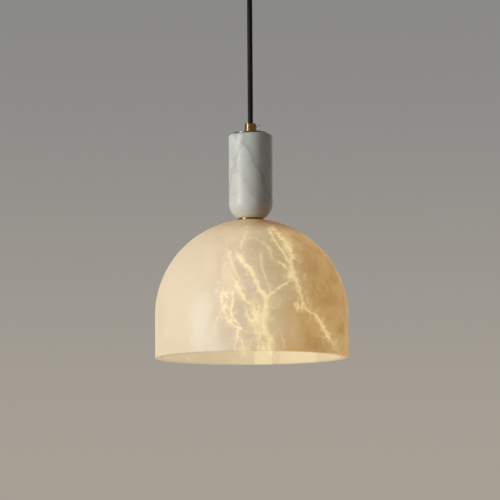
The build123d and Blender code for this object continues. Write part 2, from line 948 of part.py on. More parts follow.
def bulb_globe():
    """Opal ball, open at the top where it meets the housing."""
    inner = globe_radius - bulb_globe_wall
    rise = housing_bottom - globe_centre
    return turned(
        (globe_mouth, housing_bottom),
        arc((0, globe_centre), globe_radius, degrees(acos(globe_mouth / globe_radius)), -90),
        (0, bulb_bottom + bulb_globe_wall),
        arc((0, globe_centre), inner, -90, degrees(asin(rise / inner))),
    )


pieces = [
    ceiling_bracket,
    canopy,
    canopy_studs,
    canopy_nuts,
    canopy_cord_grip,
    canopy_grip_nut,
    canopy_grip_screw,
    terminal_block,
    terminal_sleeves,
    terminal_screws,
    terminal_block_screw,
    earth_screw,
    earth_tag,
    canopy_live_wire,
    canopy_neutral_wire,
    canopy_earth_wire,
    cord_top_end,
    cord,
    cord_bottom_end,
    lamp_cord_grip,
    lamp_grip_screw,
    top_plate,
    marble_column,
    collar_ring,
    collar_gasket,
    threaded_tube,
    shade,
    shade_gasket,
    clamp_washer,
    clamp_nut,
    lampholder_entry,
    lampholder_cap,
    lampholder_barrel,
    lampholder_core,
    lampholder_terminal_screws,
    lampholder_earth_screw,
    lampholder_screw_shell,
    lampholder_centre_contact,
    lampholder_live_wire,
    lampholder_neutral_wire,
    lampholder_earth_wire,
    bulb_contact,
    bulb_insulator,
    bulb_screw_cap,
    bulb_housing,
    bulb_led_board,
    bulb_leds,
    bulb_globe,
]

os.makedirs("parts", exist_ok=True)
for piece in pieces:
    export_step(piece(), f"parts/{piece.__name__}.step")

print(f"pivots {upper_pivot:.3f} and {lower_pivot:.3f}, grip mouths {upper_mouth:.3f} and {lower_mouth:.3f}")
print(f"screw axes {upper_mouth + screw_axis:.3f} and {lower_mouth - screw_axis:.3f}, grip {grip_radius:.3f}")
print(f"column {column_top:.3f} to {column_foot:.3f}, shade {shade_top:.3f} to {shade_rim:.3f}")
print(f"shade centre {shade_centre:.3f}, inner flat {inner_flat:.3f}, canopy floor {canopy_floor:.3f}")
print(f"holder {holder_top:.3f} to {barrel_bottom:.3f}, radius {holder_radius:.3f}")
print(f"bulb {bulb_tip:.3f} to {bulb_bottom:.3f}, housing {housing_bottom:.3f}, cap {bulb_cap_bottom:.3f}")
print(f"slots at {slot_place:.3f}, studs at {stud_place:.3f}, block {block_width:.3f} wide to {block_bottom:.3f}")
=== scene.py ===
import math
from functools import partial, reduce

import bmesh
import bpy
import numpy as np
from mathutils import Euler, Matrix, Vector


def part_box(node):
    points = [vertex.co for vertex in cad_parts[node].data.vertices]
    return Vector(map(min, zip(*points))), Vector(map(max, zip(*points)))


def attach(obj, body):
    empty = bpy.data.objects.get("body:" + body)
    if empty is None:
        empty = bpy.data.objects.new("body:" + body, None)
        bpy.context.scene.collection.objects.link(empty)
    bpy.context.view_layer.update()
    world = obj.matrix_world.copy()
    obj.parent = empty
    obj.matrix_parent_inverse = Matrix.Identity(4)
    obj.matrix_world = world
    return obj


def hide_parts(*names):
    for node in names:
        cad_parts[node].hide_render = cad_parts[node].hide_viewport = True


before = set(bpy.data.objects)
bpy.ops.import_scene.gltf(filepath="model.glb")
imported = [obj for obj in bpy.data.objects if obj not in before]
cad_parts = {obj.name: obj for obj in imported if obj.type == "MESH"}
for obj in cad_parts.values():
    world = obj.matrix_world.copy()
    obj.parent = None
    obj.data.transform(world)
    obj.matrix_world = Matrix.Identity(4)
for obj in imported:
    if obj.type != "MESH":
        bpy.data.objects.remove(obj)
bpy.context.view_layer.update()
scene = bpy.context.scene
scene.view_settings.view_transform = "Standard"
mm = 0.001
inMm = 1000  # millimetres to the metre
print("frame loaded with", len(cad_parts), "nodes")

viewpoint = dict(distance=3.2695, height=-0.6589, lookUp=6.145, turn=-0.023, lean=0.377, lens=228.4,
                 sensor=36, farClip=50)


def makeCamera(values):
    data = bpy.data.cameras.new("viewpoint")
    data.sensor_width = values["sensor"]
    data.lens = values["lens"]
    data.clip_end = values["farClip"]
    camera = bpy.data.objects.new("viewpoint", data)
    aim = Euler((math.radians(90 + values["lookUp"]), 0, -math.radians(values["turn"]))).to_matrix()
    aim = aim @ Matrix.Rotation(-math.radians(values["lean"]), 3, "Z")  # a slight lean of the picture
    camera.matrix_world = Matrix.Translation((0, -values["distance"], values["height"])) @ aim.to_4x4()
    scene.collection.objects.link(camera)
    scene.camera = camera


makeCamera(viewpoint)
print("camera placed")


# nodes

def plug(tree, socket, value):
    if isinstance(value, bpy.types.NodeSocket):
        tree.links.new(value, socket)
    else:
        # colours are given without an alpha
        socket.default_value = (*value, 1) if socket.type == "RGBA" else value


def plugRow(tree, node, values):
    for socket, value in zip(node.inputs, values):
        plug(tree, socket, value)


def plugNamed(tree, node, **values):
    for key, value in values.items():
        plug(tree, node.inputs[key.replace("_", " ")], value)


def addNode(tree, kind, settings=None, **values):
    node = tree.nodes.new("ShaderNode" + kind)
    for key, value in (settings or {}).items():
        setattr(node, key, value)
    plugNamed(tree, node, **values)
    return node


def calc(tree, operation, *values):
    node = addNode(tree, "Math", dict(operation=operation))
    plugRow(tree, node, values)
    return node.outputs[0]


def chain(operation, tree, *values):
    # one operation along a row of values
    return reduce(lambda made, value: calc(tree, operation, made, value), values)


times, most, least = (partial(chain, operation) for operation in ("MULTIPLY", "MAXIMUM", "MINIMUM"))


def hypotenuse(tree, first, second):
    return calc(tree, "SQRT", calc(tree, "MULTIPLY_ADD", first, first, times(tree, second, second)))


def vectorCalc(tree, operation, *values):
    node = addNode(tree, "VectorMath", dict(operation=operation))
    plugRow(tree, node, values)
    return node.outputs["Value" if operation in ("DOT_PRODUCT", "LENGTH") else "Vector"]


def smooth(tree, value, low, high, first=0, last=1):
    # an eased step: first up to low, last from high on
    node = addNode(tree, "MapRange", dict(interpolation_type="SMOOTHSTEP"),
                   Value=value, From_Min=low, From_Max=high, To_Min=first, To_Max=last)
    return node.outputs["Result"]


def blend(tree, share, first, second, mode="MIX"):
    node = addNode(tree, "Mix", dict(data_type="RGBA", blend_type=mode), Factor=share)
    plug(tree, node.inputs[6], first)  # the colour sockets come after those for numbers and vectors
    plug(tree, node.inputs[7], second)
    return node.outputs[2]


def noise(tree, place, scale, detail=3, rough=0.5):
    return addNode(tree, "TexNoise", Vector=place, Scale=scale, Detail=detail, Roughness=rough).outputs


def cellEdges(tree, place, scale):
    cells = addNode(tree, "TexVoronoi", dict(feature="DISTANCE_TO_EDGE"), Vector=place, Scale=scale)
    return cells.outputs["Distance"]


def bentPlace(tree, place, drift, reach):
    # the place moved along each axis by a noise's colour, by up to reach
    return vectorCalc(tree, "MULTIPLY_ADD", drift["Color"], (reach, reach, reach), place)


def axesOf(tree, place):
    return addNode(tree, "SeparateXYZ", Vector=place).outputs


def mixShaders(tree, share, first, second):
    node = addNode(tree, "MixShader")
    plugRow(tree, node, (share, first, second))
    return node.outputs[0]


def newFinish(name, **plain):
    finish = bpy.data.materials.new(name)
    finish.use_nodes = True
    tree = finish.node_tree
    tree.nodes.clear()
    shader = addNode(tree, "BsdfPrincipled", **plain)
    addNode(tree, "OutputMaterial", Surface=shader.outputs[0])
    return finish, tree, shader, addNode(tree, "TexCoord").outputs["Object"]


def bumpFrom(tree, shader, height, strength, distance):
    bump = addNode(tree, "Bump", Strength=strength, Distance=distance, Height=height)
    plugNamed(tree, shader, Normal=bump.outputs[0])


def newGroup(name, inputs, outputs):
    # every socket is a number, but for Place
    group = bpy.data.node_groups.new(name, "ShaderNodeTree")
    for label in inputs:
        kind = "NodeSocketVector" if label == "Place" else "NodeSocketFloat"
        group.interface.new_socket(label, in_out="INPUT", socket_type=kind)
    for label in outputs:
        group.interface.new_socket(label, in_out="OUTPUT", socket_type="NodeSocketFloat")
    return group, group.nodes.new("NodeGroupInput").outputs, group.nodes.new("NodeGroupOutput").inputs


def placeGroup(tree, group, **values):
    return addNode(tree, "Group", dict(node_tree=group), **values).outputs


def clouds(tree, place, scale, low=0.35, high=0.75):
    return placeGroup(tree, mottle, Place=place, Scale=scale, Low=low, High=high)["Mask"]


groupSizes = dict(lineDepth=160, swellScale=45, swell=0.6, veinEnds=1.6, ovalFade=(0.2, 1.2, 1, 0))


def makeMottle():
    # cloudy patches: noise stretched between two levels
    group, given, result = newGroup("mottle", ["Place", "Scale", "Low", "High"], ["Mask"])
    cloud = noise(group, given["Place"], given["Scale"], detail=5, rough=0.6)
    plug(group, result["Mask"], smooth(group, cloud["Fac"], given["Low"], given["High"]))
    return group


def makeToolLines(values):
    # fine rings that a turning tool leaves: bands across Z, uneven in depth
    group, given, result = newGroup("toolLines", ["Place", "Lines"], ["Height", "Mask"])
    rows = addNode(group, "TexWave", dict(bands_direction="Z"), Vector=given["Place"],
                   Scale=given["Lines"], Distortion=1.5, Detail=2, Detail_Scale=2)
    depth = noise(group, given["Place"], values["lineDepth"])["Fac"]
    plug(group, result["Height"], times(group, rows.outputs["Fac"], depth))
    plug(group, result["Mask"], depth)
    return group


def makeGrain(values):
    # moulded or fired surface: fine pebbling with some larger swell
    group, given, result = newGroup("grain", ["Place", "Scale"], ["Height", "Mask"])
    fine = noise(group, given["Place"], given["Scale"], detail=4, rough=0.6)["Fac"]
    wide = noise(group, given["Place"], values["swellScale"], detail=2)["Fac"]
    plug(group, result["Height"], calc(group, "MULTIPLY_ADD", wide, values["swell"], fine))
    plug(group, result["Mask"], fine)
    return group


def makeVein(values):
    # how far a point lies from one vein's route, counted in half widths; past its ends the count grows too
    group, given, result = newGroup("vein", ["Across", "Route", "Down", "From", "To", "Half Width"], ["Away"])
    half = given["Half Width"]
    aside = calc(group, "DIVIDE", calc(group, "SUBTRACT", given["Across"], given["Route"]), half)
    past = most(group, calc(group, "SUBTRACT", given["From"], given["Down"]),
                calc(group, "SUBTRACT", given["Down"], given["To"]), 0)
    past = calc(group, "DIVIDE", past, times(group, half, values["veinEnds"]))
    plug(group, result["Away"], hypotenuse(group, aside, past))
    return group


def makePatch(values):
    # a soft oval: 1 in its middle, 0 a little past its edge
    group, given, result = newGroup("patch", ["Across", "Down", "Middle", "Level", "Wide", "Tall"], ["Mask"])
    aside = calc(group, "DIVIDE", calc(group, "SUBTRACT", given["Across"], given["Middle"]), given["Wide"])
    along = calc(group, "DIVIDE", calc(group, "SUBTRACT", given["Down"], given["Level"]), given["Tall"])
    plug(group, result["Mask"], smooth(group, hypotenuse(group, aside, along), *values["ovalFade"]))
    return group


mottle = makeMottle()
toolLines, grain, vein, patch = [make(groupSizes) for make in (makeToolLines, makeGrain, makeVein, makePatch)]
print("shared node groups made")


# surfaces

def arcRun(centre, radius, first, last, count):
    # points on a circle in the radius, height plane, angles in degrees
    angle = np.radians(np.linspace(first, last, count))
    return np.stack([centre[0] + radius * np.cos(angle), centre[1] + radius * np.sin(angle)], -1)


def lineRun(first, last, count):
    # points on a straight line: first times one less the share, and last times the share
    share = np.linspace(0, 1, count)[:, None]
    return np.array(first) * (1 - share) + np.array(last) * share


def fadeShare(count, rows):
    # 0 at both ends of a run of points, rising evenly to 1 within so many rows
    place = np.arange(count)
    return np.clip(np.minimum(place, place[::-1]) / rows, 0, 1)


def gridMesh(name, points, sharpAngle=40, mergeWithin=1e-7):
    # points[row, column]: both directions close on themselves, and points that meet are merged
    rows, columns = points.shape[:2]
    row, column = np.arange(rows)[:, None], np.arange(columns)[None, :]
    nextRow, nextColumn = (row + 1) % rows, (column + 1) % columns
    faces = np.stack([row * columns + column, row * columns + nextColumn,
                      nextRow * columns + nextColumn, nextRow * columns + column], -1).reshape(-1, 4)
    mesh = bpy.data.meshes.new(name)
    mesh.from_pydata(points.reshape(-1, 3), [], faces)
    work = bmesh.new()
    work.from_mesh(mesh)
    bmesh.ops.remove_doubles(work, verts=work.verts, dist=mergeWithin)
    bmesh.ops.recalc_face_normals(work, faces=work.faces)
    work.to_mesh(mesh)
    work.free()
    mesh.polygons.foreach_set("use_smooth", np.ones(len(mesh.polygons), bool))
    mesh.set_sharp_from_angle(angle=math.radians(sharpAngle))
    piece = bpy.data.objects.new(name, mesh)
    scene.collection.objects.link(piece)
    return piece


def turnedPiece(name, outline, around, cut=None):
    # each outline point (radius, height) is carried round Z: x = r cos t, y = r sin t. A carved piece has r
    # cut back by depth * share * wave(t, height): cut holds the depth, each point's share and the wave,
    # which runs from 0 to 1
    turn = np.linspace(0, 2 * math.pi, around, endpoint=False)[None, :]
    radius, height = outline[:, :1], np.broadcast_to(outline[:, 1:], (len(outline), around))
    if cut:
        depth, share, wave = cut
        radius = radius - depth * share[:, None] * wave(turn, height)
    return gridMesh(name, np.stack([radius * np.cos(turn), radius * np.sin(turn), height], -1))


def spanOf(node):
    low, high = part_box(node)
    return high.x, high.z, low.z  # the radius, the top and the bottom


def settle(piece, finish, body, slot, *nodes):
    piece.data.materials.clear()
    piece.data.materials.append(finish)
    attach(piece, body)
    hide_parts(*nodes)
    return piece


def dress(finish, *nodes):
    for node in nodes:
        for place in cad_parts[node].material_slots:
            place.material = finish


# cord

cordSizes = dict(low=-176.3 * mm, high=-38.3 * mm, thick=5.5 * mm, mouth=-174.8 * mm, shoulder=0.7,
                 shoulderSize=0.75, tipSize=0.04)
cordLook = dict(sheath=(0.0035, 0.0035, 0.0035), dusty=(0.008, 0.008, 0.0075), rough=(0, 1, 0.5, 0.65),
                wear=140, pebbles=1800)


def cordFinish(values):
    finish, tree, shader, place = newFinish("blackCord", Specular_IOR_Level=0.2)
    worn = clouds(tree, place, values["wear"])
    pebble = placeGroup(tree, grain, Place=place, Scale=values["pebbles"])
    plugNamed(tree, shader, Base_Color=blend(tree, worn, values["sheath"], values["dusty"]),
              Roughness=smooth(tree, worn, *values["rough"]))
    bumpFrom(tree, shader, pebble["Height"], strength=0.1, distance=0.00004)
    return finish


def makeCord(values):
    # straight between the two bends, its ends rounded off by the points' radii
    low, high, half = values["low"], values["high"], values["thick"] / 2
    shoulder = values["shoulder"] * half
    heights = [low - half, low - shoulder, low, (low + high) / 2, high, high + shoulder, high + half]
    sizes = [values["tipSize"], values["shoulderSize"], 1, 1, 1, values["shoulderSize"], values["tipSize"]]
    spots = np.zeros((len(heights), 4), np.float32)
    spots[:, 2], spots[:, 3] = heights, 1
    curve = bpy.data.curves.new("cord_sheath", "CURVE")
    curve.dimensions = "3D"
    curve.bevel_depth = half
    curve.bevel_resolution = 7
    curve.resolution_u = 16
    curve.use_fill_caps = True
    route = curve.splines.new("NURBS")
    route.points.add(len(heights) - 1)
    route.points.foreach_set("co", spots.ravel())
    route.points.foreach_set("radius", np.array(sizes, np.float32))
    route.order_u = 3
    route.use_endpoint_u = True
    piece = bpy.data.objects.new("cord_sheath", curve)
    scene.collection.objects.link(piece)
    return piece


blackCord = cordFinish(cordLook)
cordPiece = settle(makeCord(cordSizes), blackCord, "cord", "black_cord", "cord")
dress(blackCord, "cord_top_end", "cord_bottom_end")
print("cord made")


# shade

shadeSizes = dict(inset=0.04 * mm, wall=9 * mm, skirt=44 * mm, rimRound=1.2 * mm, seat=14 * mm,
                  passage=5.3 * mm, innerFlat=20 * mm, around=288)

# Veins across the front, in millimetres: (down from the crown, right of the middle), then half width.
# The first is the trunk.
shadeVeins = [
    ([(39, -11.5), (42, -10.5), (47, -7.5), (52, -2), (58, 1), (65, 4.5), (72, 8), (78, 12.5), (84, 14),
      (92, 13.5), (99, 11), (107, 11), (113, 12), (120, 15), (127, 18), (142, 17)], 3),
    ([(10, 22), (16, 28), (22, 32), (26, 35.5), (31, 39), (37, 40.5), (48, 41), (54, 41), (59, 41.5),
      (63, 43.5)], 3.4),
    ([(50, 40.5), (59, 42), (63, 43.5), (67, 46), (72, 48), (78, 50), (87, 51.5), (93, 54), (97, 61),
      (101, 66), (107, 70), (116, 75), (127, 81)], 2),
    ([(61, 43), (63.5, 42), (66, 36), (70, 30), (73, 25.5), (76.5, 21), (80, 16), (83, 15)], 1.6),
    ([(77, -30), (87, -29), (95, -27), (102, -22.5), (108, -19), (112, -12)], 2.3),
    ([(75, -19), (87, -19), (94, -20), (100, -19), (106, -15)], 1.2),
    ([(66, -15), (73, -13), (80, -9), (85, -4), (89, 0.5), (94, 3), (100, 2), (106, 2.5), (114, 3)], 2.7),
    ([(107, 5), (113, 8), (118, 7.5), (124, 6.5), (134, 6.5)], 2.2),
    ([(111, -14), (115, -14), (120, -14)], 1.3),
    ([(11, 18.5), (16, 20.5), (21.5, 23), (30, 28.5), (37, 33), (44, 37.5)], 1.3),
    ([(46, 29), (49, 33), (52, 36.5), (56, 39.5)], 1.2),
]
shadeFaintVeins = [
    ([(10, -4), (17, -6), (23, -9), (28, -10), (34, -11.5), (40, -11.5)], 1.4),
    ([(36, -22), (44, -20), (49, -18), (56, -15), (63, -11.5), (70, -9)], 1.9),
    ([(21, 4), (24, 10), (27, 14.5), (31, 17.5), (35, 19), (42, 21)], 0.9),
    ([(37, 9), (45, 9.5), (51, 10.5), (56, 12.5), (64, 15), (71, 17.5), (77, 18.5)], 0.8),
    ([(92, -6), (98, -4), (106, -2)], 0.9),
    ([(118, -14), (125, -15), (131, -16.5), (142, -17)], 0.9),
    ([(121, -11), (128, -9), (134, -8)], 0.7),
    ([(82, 56), (88, 57.5), (94, 59)], 1),
    ([(117, 29), (123, 31.5), (131, 33)], 0.4),
    ([(94, -31), (101, -34), (108, -37), (115, -38)], 0.5),
]
sideVeins = [
    ([(22, 20), (40, 12), (58, 6), (74, 9), (96, -3), (118, -8), (142, -16)], 1.7),
    ([(74, 8), (88, 18), (104, 24), (122, 35), (142, 40)], 1.3),
    ([(52, -26), (66, -34), (84, -30), (104, -40)], 1.1),
]
routeSpan = dict(down=160, across=200)  # what a route's curve covers, in millimetres

# Soft patches on the front, in millimetres: right of the middle, down from the crown, half width, half height
shadePatches = dict(
    cream=[(-23, 58, 8, 25), (-19, 70, 6, 9), (7, 103, 13, 16), (13, 114, 6, 10), (-8, 134, 8, 8),
           (16.5, 131, 8, 11), (37, 28, 7, 16), (43, 58, 6, 11)],
    grey=[(-14, 48, 6, 14), (-3, 67, 7, 13), (-10.5, 98, 7, 13), (-35, 71, 8, 19), (-49, 108, 8, 22),
          (-32, 123, 9, 14), (2, 31, 12, 12), (-20, 122, 6, 9)],
    tan=[(-80, 130, 24, 13), (-96, 96, 12, 40)],
    # painted highlight: a lighter band on the left where the key light's reflection falls
    pale=[(-52, 108, 13, 34), (-46, 92, 11, 20), (-41, 120, 12, 24), (-36, 134, 14, 16)],
    warm=[(19, 42, 23, 24), (6, 30, 12, 14), (24, 22, 14, 12), (47, 48, 7, 16)],
    wash=[(27, 116, 18, 26), (43, 114, 13, 24), (-41, 42, 13, 22), (-15, 74, 9, 14), (-16, 18, 18, 12),
          (16, 85, 26, 10)],
    lace=[(5, 99, 11, 17), (-8, 136, 7, 6), (14, 126, 10, 17), (-24, 98, 6, 12), (-25, 84, 6, 12),
          (49, 90, 6, 7), (13, 98, 6, 16), (0, 95, 6, 7)],
    # darker brown clouds in the gold zone; the two nearest the right edge, at 91 and 96 mm, are painted shade
    # along that edge
    brown=[(58, 50, 15, 15), (78, 84, 18, 9), (62, 128, 15, 11), (85, 60, 9, 12), (72, 30, 9, 9),
           (91, 112, 6, 10), (96, 85, 6, 30)],
)

# Zones run from the left over the middle to the right; inner bands are left edge, right edge and strength.
# The glow colours are painted light: the bulb's light through the stone, given as emission, with a painted
# highlight among them
shadeLook = dict(
    leftStone=(0.52, 0.49, 0.42), middleStone=(0.48, 0.45, 0.395), rightStone=(0.46, 0.36, 0.22),
    veinStone=(0.6, 0.55, 0.42), innerStone=(0.54, 0.52, 0.46),
    leftGlow=(0.395, 0.283, 0.138), middleGlow=(0.42, 0.3, 0.155), rightGlow=(0.455, 0.275, 0.095),
    greyGlow=(0.385, 0.295, 0.18), tanGlow=(0.34, 0.235, 0.11), paleGlow=(0.505, 0.425, 0.295),
    warmGlow=(0.36, 0.245, 0.085), washGlow=(0.5, 0.36, 0.19), creamGlow=(0.57, 0.44, 0.23),
    brownGlow=(0.335, 0.175, 0.045), fleckGlow=(0.335, 0.175, 0.045), haloGlow=(0.57, 0.44, 0.23),
    veinGlow=(0.73, 0.565, 0.29), rightVeinGlow=(0.79, 0.57, 0.255),
    crownShadowTint=(0.84, 0.74, 0.6), browShadowTint=(0.46, 0.34, 0.26),
    innerGlow=(0.38, 0.315, 0.215), innerBright=(0.48, 0.395, 0.255), innerBand=(0.62, 0.55, 0.35),
    innerBands=[(3.2, 21.3, 1), (29.8, 68, 0.75)],
)
stoneShares = dict(grey=0.9, tan=0.7, pale=0.6, warm=0.7, wash=0.6, cream=0.85, fleck=0.1, halo=0.28,
                   smoke=0.55)
stoneScales = dict(slow=62, quick=230, ragged=150, cloud=26, bend=90, cracks=85, holes=125, solid=95,
                   smoke=48, fleck=110)
stoneDrifts = dict(level=1.5, soft=3, firstSlow=1, firstQuick=1, secondSlow=3, secondQuick=1.5, side=4,
                   zones=11, bands=0.8)  # in millimetres
# The camera looks up, so what lies further back looks lower; the crown's painted shadow is measured from the
# top
stoneSizes = dict(lower=85, backTurn=-0.92, backShift=9, sideShift=-47, strandWidth=0.55, bendReach=0.02,
                  holeStretch=(1, 1, 0.5), zoneSlant=0.3, crownFrom=0.022, browFrom=0.019, crownTo=0.002,
                  wallFrom=0.006, wallTo=0.002, wallShare=0.7, veinSink=-0.5)
# Eased steps: from, to, the result before and the result after, which are 0 and 1 where none are given
stoneSteps = dict(
    sideSpread=(0.006, 0.03, 6, 1), sideFade=(40, 62, 9, 0), widths=(0.3, 0.7, 0.5, 1.5),
    core=(0, 1.8, 1, 0), strand=(0.3, 1.6, 1, 0), strandCloud=(0.42, 0.58, 0.15, 0.65),
    faint=(0.1, 1.6, 0.55, 0), halo=(0, 7, 1, 0), cracks=(0.01, 0.09, 1, 0),
    crackRagged=(0.4, 0.65, 0, 0.6), holes=(0.09, 0.25, 1, 0.1), blots=(0.32, 0.52, 0.35, 1),
    solid=(0.5, 0.64), solidLace=(0, 0.8, 1, 0), kept=(0.1, 0.7, 0.75, 0),
    keptLace=(0.2, 0.9, 1, 0.6), trunk=(0.2, 1.1, 0.85, 0), uneven=(0.32, 0.62, 0.62, 1),
    gather=(4, 44, 2.6, 1), toMiddle=(-26, 8), toRight=(30, 86), smoke=(0.42, 0.66), fleck=(0.36, 0.68),
    brownRagged=(0.3, 0.7, 0.45, 0.85), browAcross=(-8, 14, 0.3, 1), innerAcross=(-50, 30),
    bandBlur=(88, 136, 18, 1), bandFade=(78, 132), rough=(0.3, 0.7, 0.48, 0.58),
)


def shadeOutline(values, radius, top, rim):
    # a dome of the radius on a straight skirt, round the rim and back up inside at the wall's thickness, to
    # a flat ceiling and the passage; each run ends with its count of points
    inner, rimRound, passage = radius - values["wall"], values["rimRound"], values["passage"]
    centre = rim + values["skirt"]
    flat = centre + math.sqrt(inner**2 - values["innerFlat"]**2)
    seatAngle = math.degrees(math.acos(values["seat"] / radius))
    flatAngle = math.degrees(math.acos(values["innerFlat"] / inner))
    return np.concatenate([
        lineRun((passage, top), (values["seat"], top), 4)[:-1],
        arcRun((0, centre), radius, seatAngle, 0, 72),
        lineRun((radius, centre), (radius, rim + rimRound), 22)[1:-1],
        arcRun((radius - rimRound, rim + rimRound), rimRound, 0, -90, 6),
        lineRun((radius - rimRound, rim), (inner + rimRound, rim), 4)[1:-1],
        arcRun((inner + rimRound, rim + rimRound), rimRound, -90, -180, 6),
        lineRun((inner, rim + rimRound), (inner, centre), 20)[1:-1],
        arcRun((0, centre), inner, 0, flatAngle, 60),
        lineRun((values["innerFlat"], flat), (passage, flat), 5)[1:],
        lineRun((passage, flat), (passage, top), 5)[1:-1],
    ])


def routeCurve(tree, down, points):
    # the vein's place across the front as a curve of the height, both scaled into 0 to 1
    tall, wide = routeSpan["down"], routeSpan["across"]
    curve = addNode(tree, "FloatCurve")
    line = curve.mapping.curves[0]
    while len(line.points) < len(points):
        line.points.new(0.5, 0.5)
    for spot, (deep, across) in zip(line.points, points):
        spot.location = (deep / tall, across / wide + 0.5)
        spot.handle_type = "AUTO_CLAMPED"
    curve.mapping.update()
    plug(tree, curve.inputs["Value"], calc(tree, "DIVIDE", down, tall))
    return calc(tree, "MULTIPLY_ADD", curve.outputs[0], wide, -wide / 2)


def nearestVein(tree, at, across, widths, veins):
    # the least count of half widths from any of the veins
    return least(tree, *[
        placeGroup(tree, vein, Across=across, Route=routeCurve(tree, at["level"], points), Down=at["down"],
                   From=points[0][0], To=points[-1][0], Half_Width=times(tree, widths, half))["Away"]
        for points, half in veins])


def patchMask(tree, at, patches):
    # the strongest of the soft ovals
    return most(tree, *[
        placeGroup(tree, patch, Across=at["soft"], Down=at["level"], Middle=middle, Level=level, Wide=wide,
                   Tall=tall)["Mask"]
        for middle, level, wide, tall in patches])


def step(tree, value, name):
    return smooth(tree, value, *stoneSteps[name])


def wander(tree, value, drift, reach):
    # moves a value by up to twice the reach each way, mostly by less than the reach
    return calc(tree, "ADD", value, calc(tree, "MULTIPLY_ADD", drift, 4 * reach, -2 * reach))


def stonePlaces(tree, place, top):
    # where a point lies in millimetres, right of the middle and down from the crown, and the shared noises
    sizes, scales, drifts = stoneSizes, stoneScales, stoneDrifts
    axes = axesOf(tree, place)
    across = times(tree, axes["X"], inMm)
    depth = times(tree, axes["Y"], sizes["lower"])
    down = calc(tree, "MULTIPLY_ADD", calc(tree, "SUBTRACT", top, axes["Z"]), inMm, depth)
    # the back has the same veins the other way round, and each side a few of its own behind the middle
    turned = calc(tree, "MULTIPLY_ADD", across, sizes["backTurn"], sizes["backShift"])
    behind = calc(tree, "GREATER_THAN", axes["Y"], 0)
    seen = addNode(tree, "Mix", Factor=behind, A=across, B=turned).outputs[0]
    spread = step(tree, calc(tree, "ABSOLUTE", axes["Y"]), "sideSpread")
    seen = times(tree, seen, spread)
    along = calc(tree, "MULTIPLY_ADD", axes["Y"], inMm, sizes["sideShift"])
    beside = times(tree, calc(tree, "SIGN", across), along)
    slow = noise(tree, place, scales["slow"], detail=2)["Color"]
    slow = addNode(tree, "SeparateColor", Color=slow).outputs
    quick = noise(tree, place, scales["quick"], detail=4, rough=0.6)["Color"]
    quick = addNode(tree, "SeparateColor", Color=quick).outputs
    return dict(place=place, axes=axes, across=across, down=down, seen=seen, beside=beside,
                slow=slow, quick=quick,
                ragged=noise(tree, place, scales["ragged"], detail=4, rough=0.65)["Fac"],
                cloud=noise(tree, place, scales["cloud"], detail=4, rough=0.55)["Fac"],
                level=wander(tree, down, quick["Green"], drifts["level"]),
                soft=wander(tree, seen, slow["Green"], drifts["soft"]))


def veinMasks(tree, at, veins, lace):
    # veins in two strands that part and meet
    drifts, scales = stoneDrifts, stoneScales
    place, slow, quick, ragged = at["place"], at["slow"], at["quick"], at["ragged"]
    widths = step(tree, ragged, "widths")
    first = wander(tree, at["seen"], slow["Red"], drifts["firstSlow"])
    first = wander(tree, first, quick["Red"], drifts["firstQuick"])
    second = wander(tree, at["seen"], slow["Blue"], drifts["secondSlow"])
    second = wander(tree, second, quick["Blue"], drifts["secondQuick"])
    near = nearestVein(tree, at, first, widths, veins["strong"])
    beside = wander(tree, at["beside"], slow["Red"], drifts["side"])
    sides = nearestVein(tree, at, beside, widths, veins["side"])
    sideFade = step(tree, calc(tree, "ABSOLUTE", at["across"]), "sideFade")
    near = least(tree, near, calc(tree, "ADD", sides, sideFade))
    faint = nearestVein(tree, at, first, widths, veins["faint"])
    narrow = times(tree, widths, stoneSizes["strandWidth"])
    strand = step(tree, nearestVein(tree, at, second, narrow, veins["strong"]), "strand")
    core = step(tree, near, "core")
    side = times(tree, strand, step(tree, at["cloud"], "strandCloud"))
    side = most(tree, side, step(tree, faint, "faint"))
    halo = step(tree, least(tree, near, faint), "halo")
    # hairline cracks between the veins, and small dark holes in them
    bent = bentPlace(tree, place, noise(tree, place, scales["bend"]), stoneSizes["bendReach"])
    hair = step(tree, cellEdges(tree, bent, scales["cracks"]), "cracks")
    hair = times(tree, halo, step(tree, ragged, "crackRagged"), hair)
    tall = vectorCalc(tree, "MULTIPLY", bent, stoneSizes["holeStretch"])
    holes = step(tree, cellEdges(tree, tall, scales["holes"]), "holes")
    blots = times(tree, lace, step(tree, ragged, "blots"))
    # fewer holes where the stone is solid, more in the laced patches, hardly any in the trunk's middle
    solid = step(tree, noise(tree, place, scales["solid"], detail=2)["Fac"], "solid")
    solid = times(tree, solid, step(tree, lace, "solidLace"))
    kept = times(tree, step(tree, near, "kept"), step(tree, lace, "keptLace"))
    trunk = step(tree, nearestVein(tree, at, first, widths, veins["strong"][:1]), "trunk")
    holes = most(tree, holes, solid, kept, trunk)
    bright = most(tree, core, side, hair, blots)
    return core, halo, times(tree, bright, holes, step(tree, ragged, "uneven"))


